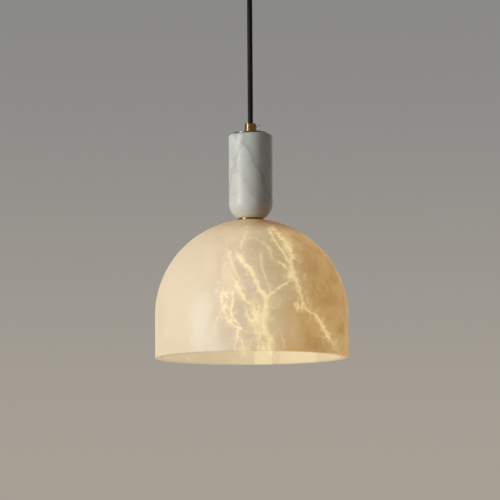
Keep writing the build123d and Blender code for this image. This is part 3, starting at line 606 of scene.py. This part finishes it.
def stoneTones(tree, at, values, masks, halo, bright):
    # three zones, cream, dull and gold, that close up on the crown, then the soft patches, and last the veins
    gather = times(tree, at["across"], step(tree, at["down"], "gather"))
    spread = calc(tree, "MULTIPLY_ADD", at["down"], stoneSizes["zoneSlant"], gather)
    spread = wander(tree, spread, at["cloud"], stoneDrifts["zones"])
    toMiddle, toRight = step(tree, spread, "toMiddle"), step(tree, spread, "toRight")
    smoke = clouds(tree, at["place"], stoneScales["smoke"], *stoneSteps["smoke"])
    fleck = clouds(tree, at["place"], stoneScales["fleck"], *stoneSteps["fleck"])
    brown = times(tree, masks["brown"], step(tree, at["ragged"], "brownRagged"))
    brown = most(tree, brown, times(tree, smoke, stoneShares["smoke"]))
    stone = blend(tree, toMiddle, values["leftStone"], values["middleStone"])
    stone = blend(tree, toRight, stone, values["rightStone"])
    stone = blend(tree, bright, stone, values["veinStone"])
    lit = blend(tree, toMiddle, values["leftGlow"], values["middleGlow"])
    lit = blend(tree, toRight, lit, blend(tree, brown, values["rightGlow"], values["brownGlow"]))
    layers = dict(masks, fleck=fleck, halo=halo)
    for name in ("grey", "tan", "pale", "warm", "wash", "cream", "fleck", "halo"):
        share = times(tree, layers[name], stoneShares[name])
        lit = blend(tree, share, lit, values[name + "Glow"])
    lit = blend(tree, bright, lit, blend(tree, toRight, values["veinGlow"], values["rightVeinGlow"]))
    return stone, lit


def crownShadow(tree, at, values, top, stone, lit):
    # painted shadow: the crown's glow is darkened under the column, and on its right the stone's colour too
    height, end = at["axes"]["Z"], top - stoneSizes["crownTo"]
    crown = smooth(tree, height, top - stoneSizes["crownFrom"], end)
    lit = blend(tree, crown, lit, values["crownShadowTint"], "MULTIPLY")
    brow = times(tree, smooth(tree, height, top - stoneSizes["browFrom"], end),
                 step(tree, at["across"], "browAcross"))
    lit = blend(tree, brow, lit, values["browShadowTint"], "MULTIPLY")
    return blend(tree, brow, stone, values["browShadowTint"], "MULTIPLY"), lit


def softEdge(tree, value, middle, half, first, last):
    # an eased step about a middle
    low, high = calc(tree, "SUBTRACT", middle, half), calc(tree, "ADD", middle, half)
    return smooth(tree, value, low, high, first, last)


def innerWall(tree, at, values, radius, centre, stone, lit):
    # inside, the wall is paler, and its glow is painted light from the bulb, brighter to the right and in
    # bands whose sides are softer higher up
    axes, across, sizes = at["axes"], at["across"], stoneSizes
    above = most(tree, calc(tree, "SUBTRACT", axes["Z"], centre), 0)
    spoke = addNode(tree, "CombineXYZ", X=axes["X"], Y=axes["Y"], Z=above).outputs[0]
    out = vectorCalc(tree, "LENGTH", spoke)
    inside = smooth(tree, out, radius - sizes["wallFrom"], radius - sizes["wallTo"], sizes["wallShare"], 0)
    inner = blend(tree, step(tree, across, "innerAcross"), values["innerGlow"], values["innerBright"])
    edge = wander(tree, across, at["quick"]["Red"], stoneDrifts["bands"])
    blur = step(tree, at["down"], "bandBlur")
    fade = step(tree, at["down"], "bandFade")
    for left, right, strength in values["innerBands"]:
        starts = softEdge(tree, edge, left, blur, 0, strength)
        ends = softEdge(tree, edge, right, blur, 1, 0)
        inner = blend(tree, times(tree, starts, ends, fade), inner, values["innerBand"])
    return blend(tree, inside, stone, values["innerStone"]), blend(tree, inside, lit, inner)


def alabasterFinish(values, veins, patches, radius, top, centre):
    finish, tree, shader, place = newFinish("alabaster", Specular_IOR_Level=0.3, Emission_Strength=1)
    at = stonePlaces(tree, place, top)
    masks = {name: patchMask(tree, at, ovals) for name, ovals in patches.items()}
    core, halo, bright = veinMasks(tree, at, veins, masks["lace"])
    stone, lit = stoneTones(tree, at, values, masks, halo, bright)
    stone, lit = crownShadow(tree, at, values, top, stone, lit)
    stone, lit = innerWall(tree, at, values, radius, centre, stone, lit)
    # the emission colour is painted light, the bulb's light coming through the stone
    plugNamed(tree, shader, Base_Color=stone, Emission_Color=lit,
              Roughness=step(tree, at["ragged"], "rough"))
    sunk = calc(tree, "MULTIPLY_ADD", core, stoneSizes["veinSink"], at["ragged"])
    bumpFrom(tree, shader, sunk, strength=0.1, distance=0.0004)
    return finish


def makeShade(values):
    radius, top, rim = spanOf("shade")
    outline = shadeOutline(values, radius - values["inset"], top, rim)
    piece = turnedPiece("shade_stone", outline, values["around"])
    veins = dict(strong=shadeVeins, faint=shadeFaintVeins, side=sideVeins)
    finish = alabasterFinish(shadeLook, veins, shadePatches, radius, top, rim + values["skirt"])
    settle(piece, finish, "lamp", "alabaster", "shade")


makeShade(shadeSizes)
print("shade made")


# column

columnSizes = dict(footArc=18.7 * mm, topRound=3.2 * mm, passage=5.3 * mm, foot=13.7 * mm, around=192)

# Veins are slanting planes through the stone: the plane's normal, its distance, half width and strength.
# Steps are eased, and written as the shade's are.
marbleLook = dict(
    white=(0.76, 0.785, 0.75), warm=(0.72, 0.74, 0.67), grey=(0.36, 0.365, 0.345),
    veins=[((0.852, 0.29, 0.436), -98.5 * mm, 2.8 * mm, 0.38), ((0.84, 0.26, 0.475), -104 * mm, 7 * mm, 0.18),
           ((0.83, -0.25, 0.5), -117 * mm, 7 * mm, 0.16), ((0.86, 0.2, 0.47), -121 * mm, 2 * mm, 0.12),
           ((-0.6, 0.68, 0.42), -92 * mm, 4 * mm, 0.3), ((-0.72, 0.52, 0.46), -84 * mm, 1.2 * mm, 0.22)],
    driftScale=34, crumbScale=420, bendScale=55, bendReach=0.014, cellScale=62,
    broad=(0.4, 0.68), along=(0.35, 0.6), weakest=0.5, hair=(0, 0.045, 1, 0), hairAlong=(0.46, 0.64, 0, 0.22),
    crumbs=(0.52, 0.72, 0, 0.12), rough=(0, 1, 0.34, 0.42),
)


def marbleFinish(values):
    finish, tree, shader, place = newFinish("marble", Specular_IOR_Level=0.45)
    drift = noise(tree, place, values["driftScale"], detail=5, rough=0.6)["Fac"]
    crumb = noise(tree, place, values["crumbScale"], detail=3, rough=0.6)["Fac"]
    swirl = noise(tree, place, values["bendScale"], detail=4, rough=0.55)
    bent = bentPlace(tree, place, swirl, values["bendReach"])
    broad = smooth(tree, drift, *values["broad"])
    tone = blend(tree, broad, values["white"], values["warm"])
    for normal, distance, half, strength in values["veins"]:
        middle = distance + values["bendReach"] / 2 * sum(normal)  # the bend's mean is half its reach
        plane = vectorCalc(tree, "DOT_PRODUCT", bent, normal)
        away = calc(tree, "ABSOLUTE", calc(tree, "SUBTRACT", plane, middle))
        share = times(tree, smooth(tree, away, 0, half, 1, 0),
                      smooth(tree, drift, *values["along"], values["weakest"] * strength, strength))
        tone = blend(tree, share, tone, values["grey"])
    hair = smooth(tree, cellEdges(tree, bent, values["cellScale"]), *values["hair"])
    hair = times(tree, hair, smooth(tree, drift, *values["hairAlong"]))
    tone = blend(tree, hair, tone, values["grey"])
    tone = blend(tree, smooth(tree, crumb, *values["crumbs"]), tone, values["grey"])
    plugNamed(tree, shader, Base_Color=tone, Roughness=smooth(tree, broad, *values["rough"]))
    bumpFrom(tree, shader, crumb, strength=0.02, distance=0.0002)
    return finish


def makeColumn(values):
    # a straight side between a quarter round at the top and a long arc that ends at the foot's radius, with
    # a hole through the middle; each run ends with its count of points
    radius, top, bottom = spanOf("marble_column")
    footArc, topRound, hole = values["footArc"], values["topRound"], values["passage"]
    middle = radius - footArc
    footAngle = -math.degrees(math.acos((values["foot"] - middle) / footArc))
    arcHeight = bottom - footArc * math.sin(math.radians(footAngle))
    outline = np.concatenate([
        lineRun((hole, top), (radius - topRound, top), 8)[:-1],
        arcRun((radius - topRound, top - topRound), topRound, 90, 0, 14),
        lineRun((radius, top - topRound), (radius, arcHeight), 30)[1:-1],
        arcRun((middle, arcHeight), footArc, 0, footAngle, 30),
        lineRun((values["foot"], bottom), (hole, bottom), 6)[1:],
        lineRun((hole, bottom), (hole, top), 12)[1:-1],
    ])
    piece = turnedPiece("column_stone", outline, values["around"])
    settle(piece, marbleFinish(marbleLook), "lamp", "marble", "marble_column")


makeColumn(columnSizes)
print("column made")


# metals

# Clean tone, brown tone, tool lines, sheen, lacquer
metalLooks = dict(
    agedBrass=((0.23, 0.15, 0.046), (0.1, 0.061, 0.018), 900, 0.22, 0.6),
    plateBronze=((0.11, 0.095, 0.06), (0.06, 0.05, 0.03), 900, 0.26, 1),
    brightBrass=((0.8, 0.62, 0.28), (0.55, 0.4, 0.17), 1200, 0.18, 0),
    zincSteel=((0.62, 0.63, 0.62), (0.4, 0.41, 0.42), 700, 0.3, 0),
    bulbMetal=((0.7, 0.69, 0.66), (0.55, 0.54, 0.51), 800, 0.2, 0),
)
metalWear = dict(scale=55, stain=0.48, leastStain=0.18, dullOver=(0.25, 0.75), dulling=0.12, lacquerRough=0.1)


def metalFinish(name, wear, clean, brown, lines, sheen, lacquer):
    finish, tree, shader, place = newFinish(name, Metallic=1, Coat_Weight=lacquer,
                                            Coat_Roughness=wear["lacquerRough"])
    aged = clouds(tree, place, wear["scale"])
    fine = placeGroup(tree, toolLines, Place=place, Lines=lines)
    stain = calc(tree, "MULTIPLY_ADD", fine["Mask"], wear["stain"], wear["leastStain"])
    plugNamed(tree, shader, Base_Color=blend(tree, times(tree, aged, stain), clean, brown),
              Roughness=smooth(tree, fine["Mask"], *wear["dullOver"], sheen, sheen + wear["dulling"]))
    bumpFrom(tree, shader, fine["Height"], strength=0.08, distance=0.00001)
    return finish


metals = {name: metalFinish(name, metalWear, *look) for name, look in metalLooks.items()}
dress(metals["agedBrass"], "canopy", "canopy_nuts", "canopy_cord_grip", "lamp_cord_grip", "collar_ring",
      "lampholder_entry", "lampholder_cap")
dress(metals["plateBronze"], "top_plate")
dress(metals["brightBrass"], "terminal_sleeves", "lampholder_centre_contact", "lampholder_terminal_screws",
      "lampholder_earth_screw", "earth_screw", "earth_tag")
dress(metals["zincSteel"], "ceiling_bracket", "canopy_studs", "canopy_grip_nut", "terminal_screws",
      "terminal_block_screw", "threaded_tube", "clamp_washer", "clamp_nut")
dress(metals["bulbMetal"], "bulb_contact")
print("metals dressed")


# lampholder and bulb cap

holderSizes = dict(
    spigotBore=16.7 * mm, spigotRadius=18.3 * mm, spigotHeight=6 * mm, spigotDrop=4 * mm, bore=18.4 * mm,
    ledgeRadius=14.05 * mm, ledgeThick=2 * mm, edge=0.5 * mm, groove=0.6 * mm, ribDepth=0.45 * mm, ribs=72,
    around=576, bandFrom=5 * mm, bandTo=17 * mm, bandGap=0.4 * mm, bandRows=14, bandFade=2,
)


def makeHolderBarrel(values):
    # the skirt's outline, with a band of upright ribs between two half-round grooves: ribs follow
    # cos(ribs * turn); each run ends with its count of points
    radius, top, bottom = spanOf("lampholder_barrel")
    edge, groove, gap, bore = values["edge"], values["groove"], values["bandGap"], values["bore"]
    spigotBore, spigot, ledgeIn = values["spigotBore"], values["spigotRadius"], values["ledgeRadius"]
    cap = top - values["spigotHeight"]
    ledge = cap - values["spigotDrop"]
    under = ledge - values["ledgeThick"]
    bandTop, bandBottom = cap - values["bandFrom"], cap - values["bandTo"]
    # a groove's middle and far side, and the plain barrel's start, as counted from the band
    middle, inset, start = 1.1 * groove, 2.2 * groove, 2.4 * groove
    plain = np.concatenate([
        lineRun((spigotBore, top), (spigot, top), 3)[:-1],
        lineRun((spigot, top), (spigot, cap), 4)[:-1],
        lineRun((spigot, cap), (radius - edge, cap), 3)[:-1],
        arcRun((radius - edge, cap - edge), edge, 90, 0, 5),
        lineRun((radius, bandTop + start), (radius, bandTop + inset), 2),
        arcRun((radius, bandTop + middle), groove, 90, 270, 9),
    ])
    band = lineRun((radius, bandTop - gap), (radius, bandBottom + gap), values["bandRows"])
    rest = np.concatenate([
        arcRun((radius, bandBottom - middle), groove, 90, 270, 9),
        lineRun((radius, bandBottom - start), (radius, bottom + 3 * edge), 4),
        arcRun((radius - edge, bottom + edge), edge, 0, -90, 5),
        lineRun((radius - edge, bottom), (bore + edge, bottom), 3)[1:-1],
        arcRun((bore + edge, bottom + edge), edge, -90, -180, 5),
        lineRun((bore, bottom + 2 * edge), (bore, under), 8),
        lineRun((bore, under), (ledgeIn, under), 4)[1:],
        lineRun((ledgeIn, under), (ledgeIn, ledge), 3)[1:],
        lineRun((ledgeIn, ledge), (spigotBore, ledge), 4)[1:],
        lineRun((spigotBore, ledge), (spigotBore, top), 6)[1:-1],
    ])
    bandShare = fadeShare(values["bandRows"], values["bandFade"])
    share = np.concatenate([np.zeros(len(plain)), bandShare, np.zeros(len(rest))])

    def ribWave(turn, height):
        return 0.5 - 0.5 * np.cos(values["ribs"] * turn) + 0 * height

    piece = turnedPiece("holder_barrel", np.concatenate([plain, band, rest]), values["around"],
                        (values["ribDepth"], share, ribWave))
    settle(piece, metals["agedBrass"], "lamp", "aged_brass", "lampholder_barrel")


threadSizes = dict(pitch=3.629 * mm, capWall=0.4 * mm, capCurl=2 * mm, capLip=8.8 * mm, capDepth=0.33 * mm,
                   shellWall=0.5 * mm, shellWell=9.5 * mm, shellDepth=0.2 * mm, around=120, rows=84,
                   fadeRows=6)


def helix(turn, height):
    # right-hand thread: a wave of the height that climbs one pitch in each turn
    return 0.5 - 0.5 * np.cos(2 * math.pi * height / threadSizes["pitch"] - turn)


def makeBulbCap(values):
    # a thin tube with a lip curled in at its top, its outside cut back by the helix, less so at both ends
    radius, top, bottom = spanOf("bulb_screw_cap")
    wall, lip, curl = values["capWall"], values["capLip"], top - values["capCurl"]
    outer = lineRun((radius, bottom + 0.5 * wall), (radius, curl), values["rows"])
    rest = np.concatenate([
        lineRun((radius, curl), (lip + wall, top), 10)[1:],
        lineRun((lip, top), (lip, top - wall), 3),
        lineRun((lip, top - wall), (radius - wall, curl - wall), 10)[1:],
        lineRun((radius - wall, curl - wall), (radius - wall, bottom), 12)[1:],
        lineRun((radius - 0.5 * wall, bottom), (radius, bottom + 0.5 * wall), 3)[:-1],
    ])
    share = np.concatenate([fadeShare(values["rows"], values["fadeRows"]), np.zeros(len(rest))])
    piece = turnedPiece("bulb_cap", np.concatenate([outer, rest]), values["around"],
                        (values["capDepth"], share, helix))
    settle(piece, metals["bulbMetal"], "bulb", "bulb_metal", "bulb_screw_cap")


def makeScrewShell(values):
    # a thin cup with a well in its top; its outside and inside are cut back by the same helix
    radius, top, bottom = spanOf("lampholder_screw_shell")
    wall, well, depth = values["shellWall"], values["shellWell"], values["shellDepth"]
    within, shoulder = radius - wall + depth, top - 2 * wall
    outer = lineRun((radius, shoulder), (radius, bottom), values["rows"])
    inner = lineRun((within, bottom), (within, shoulder), values["rows"])
    rest = np.concatenate([
        lineRun((within, top - wall), (well, top - wall), 5),
        lineRun((well, top), (radius, top), 5),
    ])
    threaded = fadeShare(values["rows"], values["fadeRows"])
    share = np.concatenate([threaded, threaded, np.zeros(len(rest))])
    piece = turnedPiece("holder_shell", np.concatenate([outer, inner, rest]), values["around"],
                        (depth, share, helix))
    settle(piece, metals["brightBrass"], "lamp", "bright_brass", "lampholder_screw_shell")


makeHolderBarrel(holderSizes)
makeBulbCap(threadSizes)
makeScrewShell(threadSizes)
print("holder and cap threads made")


# plastics, rubber, porcelain and glass

# Tone, shade, roughness, pebbles, then the nodes that have it
mouldedLooks = dict(
    brownWire=((0.11, 0.045, 0.02), (0.08, 0.032, 0.015), 0.35, 900,
               "canopy_live_wire", "lampholder_live_wire"),
    blueWire=((0.03, 0.1, 0.36), (0.024, 0.08, 0.28), 0.35, 900,
              "canopy_neutral_wire", "lampholder_neutral_wire"),
    blockPlastic=((0.78, 0.77, 0.73), (0.7, 0.69, 0.65), 0.35, 900, "terminal_block"),
    blackRubber=((0.018, 0.018, 0.018), (0.03, 0.03, 0.029), 0.6, 900, "collar_gasket", "shade_gasket"),
    porcelain=((0.8, 0.79, 0.75), (0.76, 0.745, 0.7), 0.12, 300, "lampholder_core"),
    bulbWhite=((0.8, 0.8, 0.78), (0.76, 0.76, 0.74), 0.35, 900, "bulb_housing"),
    bulbBlack=((0.012, 0.012, 0.014), (0.02, 0.02, 0.022), 0.2, 900, "bulb_insulator"),
    ledBoard=((0.8, 0.81, 0.8), (0.72, 0.73, 0.72), 0.4, 900, "bulb_led_board"),
    ledChip=((0.78, 0.62, 0.12), (0.7, 0.54, 0.1), 0.4, 900, "bulb_leds"),
)
mouldedWear = dict(cloudScale=90, dullOver=(0.2, 0.8), dulling=0.15)


def mouldedFinish(name, wear, tone, shade, rough, pebbles):
    finish, tree, shader, place = newFinish(name)
    pebble = placeGroup(tree, grain, Place=place, Scale=pebbles)
    cloudy = clouds(tree, place, wear["cloudScale"])
    plugNamed(tree, shader, Base_Color=blend(tree, cloudy, tone, shade),
              Roughness=smooth(tree, pebble["Mask"], *wear["dullOver"], rough, rough + wear["dulling"]))
    bumpFrom(tree, shader, pebble["Height"], strength=0.15, distance=0.00006)
    return finish


earthLook = dict(green=(0.1, 0.32, 0.06), yellow=(0.8, 0.66, 0.05), stripes=95, pebbles=900,
                 edge=(0.45, 0.55), rough=(0.2, 0.8, 0.35, 0.5))


def stripedWireFinish(values):
    finish, tree, shader, place = newFinish("earthWire")
    wave = addNode(tree, "TexWave", dict(bands_direction="DIAGONAL"), Vector=place, Scale=values["stripes"])
    stripe = smooth(tree, wave.outputs["Fac"], *values["edge"])
    pebble = placeGroup(tree, grain, Place=place, Scale=values["pebbles"])
    plugNamed(tree, shader, Base_Color=blend(tree, stripe, values["green"], values["yellow"]),
              Roughness=smooth(tree, pebble["Mask"], *values["rough"]))
    return finish


nylonLook = dict(clear=(0.9, 0.9, 0.88), milky=(0.78, 0.78, 0.75), scale=260, rough=(0, 1, 0.08, 0.22))


def nylonFinish(values):
    finish, tree, shader, place = newFinish("clearNylon", Transmission_Weight=0.7, IOR=1.5)
    milky = clouds(tree, place, values["scale"], low=0.3, high=0.8)
    plugNamed(tree, shader, Base_Color=blend(tree, milky, values["clear"], values["milky"]),
              Roughness=smooth(tree, milky, *values["rough"]))
    return finish


opalLook = dict(glass=(0.62, 0.61, 0.58), dullGlass=(0.56, 0.55, 0.52), glow=(0.86, 0.72, 0.5),
                dullGlow=(0.82, 0.67, 0.45), neckGlow=(0.42, 0.31, 0.18), scale=30, neckFrom=0.3)


def opalFinish(values):
    top, bottom = spanOf("bulb_globe")[1:]
    finish, tree, shader, place = newFinish("opalGlobe", Roughness=0.35, Emission_Strength=1)
    soft = clouds(tree, place, values["scale"], low=0.2, high=0.8)
    # the housing shades the neck
    neck = smooth(tree, axesOf(tree, place)["Z"], bottom + values["neckFrom"] * (top - bottom), top)
    lit = blend(tree, soft, values["glow"], values["dullGlow"])
    plugNamed(tree, shader, Base_Color=blend(tree, soft, values["glass"], values["dullGlass"]),
              Emission_Color=blend(tree, neck, lit, values["neckGlow"]))
    return finish


for name, (tone, shade, rough, pebbles, *nodes) in mouldedLooks.items():
    dress(mouldedFinish(name, mouldedWear, tone, shade, rough, pebbles), *nodes)
dress(stripedWireFinish(earthLook), "canopy_earth_wire", "lampholder_earth_wire")
dress(nylonFinish(nylonLook), "canopy_grip_screw", "lamp_grip_screw")
dress(opalFinish(opalLook), "bulb_globe")
print("other finishes dressed")


# studio

studio = dict(
    aim=(0, 0, -0.28), ambient=0.072, ambientTint=(1, 0.99, 0.97),
    upper=(0.255, 0.252, 0.248), lower=(0.385, 0.35, 0.3), toUpper=(0.03, 0.19, 1, 0),
    floorSide=3, floorHeight=-0.8, floorFade=(0.7, 2.7), floorTone=(0.7, 0.69, 0.67), floorSpeck=0.98,
    speckScale=9, floorGlow=1.2, floorShare=0.75,
)
# Place, size, watts, tint
softBoxes = dict(
    key=((-1.8, -0.92, 0.12), (0.62, 1.7), 30, (1, 0.99, 0.97)),
    fill=((-1.5, -2.2, 0.9), (1.8, 1.8), 3, (1, 0.99, 0.98)),
    edge=((0.8, 2.1, 0.3), (2.4, 2.2), 5, (1, 0.95, 0.88)),
)


def makeSoftBox(name, aim, place, size, watts, tint):
    data = bpy.data.lights.new(name, "AREA")
    data.shape = "RECTANGLE"
    data.size, data.size_y = size
    data.energy = watts
    data.color = tint
    lamp = bpy.data.objects.new(name, data)
    lamp.location = place
    lamp.rotation_euler = (Vector(aim) - Vector(place)).to_track_quat("-Z", "Y").to_euler()
    scene.collection.objects.link(lamp)


def seenRays(tree):
    # 1 for rays from the camera, from metal and through glass
    rays = addNode(tree, "LightPath").outputs
    return most(tree, rays["Is Camera Ray"], rays["Is Glossy Ray"], rays["Is Transmission Ray"])


def makeWorld(values):
    # seen directly or in metal and glass it is the plain grey background; as a light it is a low even fill
    world = bpy.data.worlds.new("studio")
    world.use_nodes = True
    tree = world.node_tree
    tree.nodes.clear()
    way = axesOf(tree, addNode(tree, "TexCoord").outputs["Generated"])["Z"]
    tone = blend(tree, smooth(tree, way, *values["toUpper"]), values["upper"], values["lower"])
    even = addNode(tree, "Background", Color=values["ambientTint"], Strength=values["ambient"])
    backdrop = addNode(tree, "Background", Color=tone, Strength=1)
    mixed = mixShaders(tree, seenRays(tree), even.outputs[0], backdrop.outputs[0])
    addNode(tree, "OutputWorld", Surface=mixed)
    scene.world = world


def makeFloor(values):
    side, height, tone = values["floorSide"], values["floorHeight"], values["floorTone"]
    corners = [(-side, -side), (side, -side), (side, side), (-side, side)]
    mesh = bpy.data.meshes.new("floor")
    mesh.from_pydata([(*corner, height) for corner in corners], [], [(0, 1, 2, 3)])
    floor = bpy.data.objects.new("floor", mesh)
    scene.collection.objects.link(floor)
    finish, tree, shader, place = newFinish("paleFloor", Roughness=0.8)
    darker = [values["floorSpeck"] * part for part in tone]
    speck = clouds(tree, place, values["speckScale"], low=0.2, high=0.8)
    plugNamed(tree, shader, Base_Color=blend(tree, speck, tone, darker))
    # seen directly or in metal and glass it is mostly the backdrop's tone, and the rest keeps the shadow
    even = addNode(tree, "Emission", Color=values["lower"], Strength=values["floorGlow"])
    direct = times(tree, seenRays(tree), values["floorShare"])
    toned = mixShaders(tree, direct, shader.outputs[0], even.outputs[0])
    # it fades into the backdrop far out, and from below it is left out
    spot = axesOf(tree, place)
    far = smooth(tree, hypotenuse(tree, spot["X"], spot["Y"]), *values["floorFade"])
    under = addNode(tree, "NewGeometry").outputs["Backfacing"]
    clear = addNode(tree, "BsdfTransparent").outputs[0]
    mixed = mixShaders(tree, most(tree, under, far), toned, clear)
    plugNamed(tree, tree.nodes["Material Output"], Surface=mixed)
    mesh.materials.append(finish)


for name, box in softBoxes.items():
    makeSoftBox(name, studio["aim"], *box)
makeWorld(studio)
makeFloor(studio)
print("studio lit")
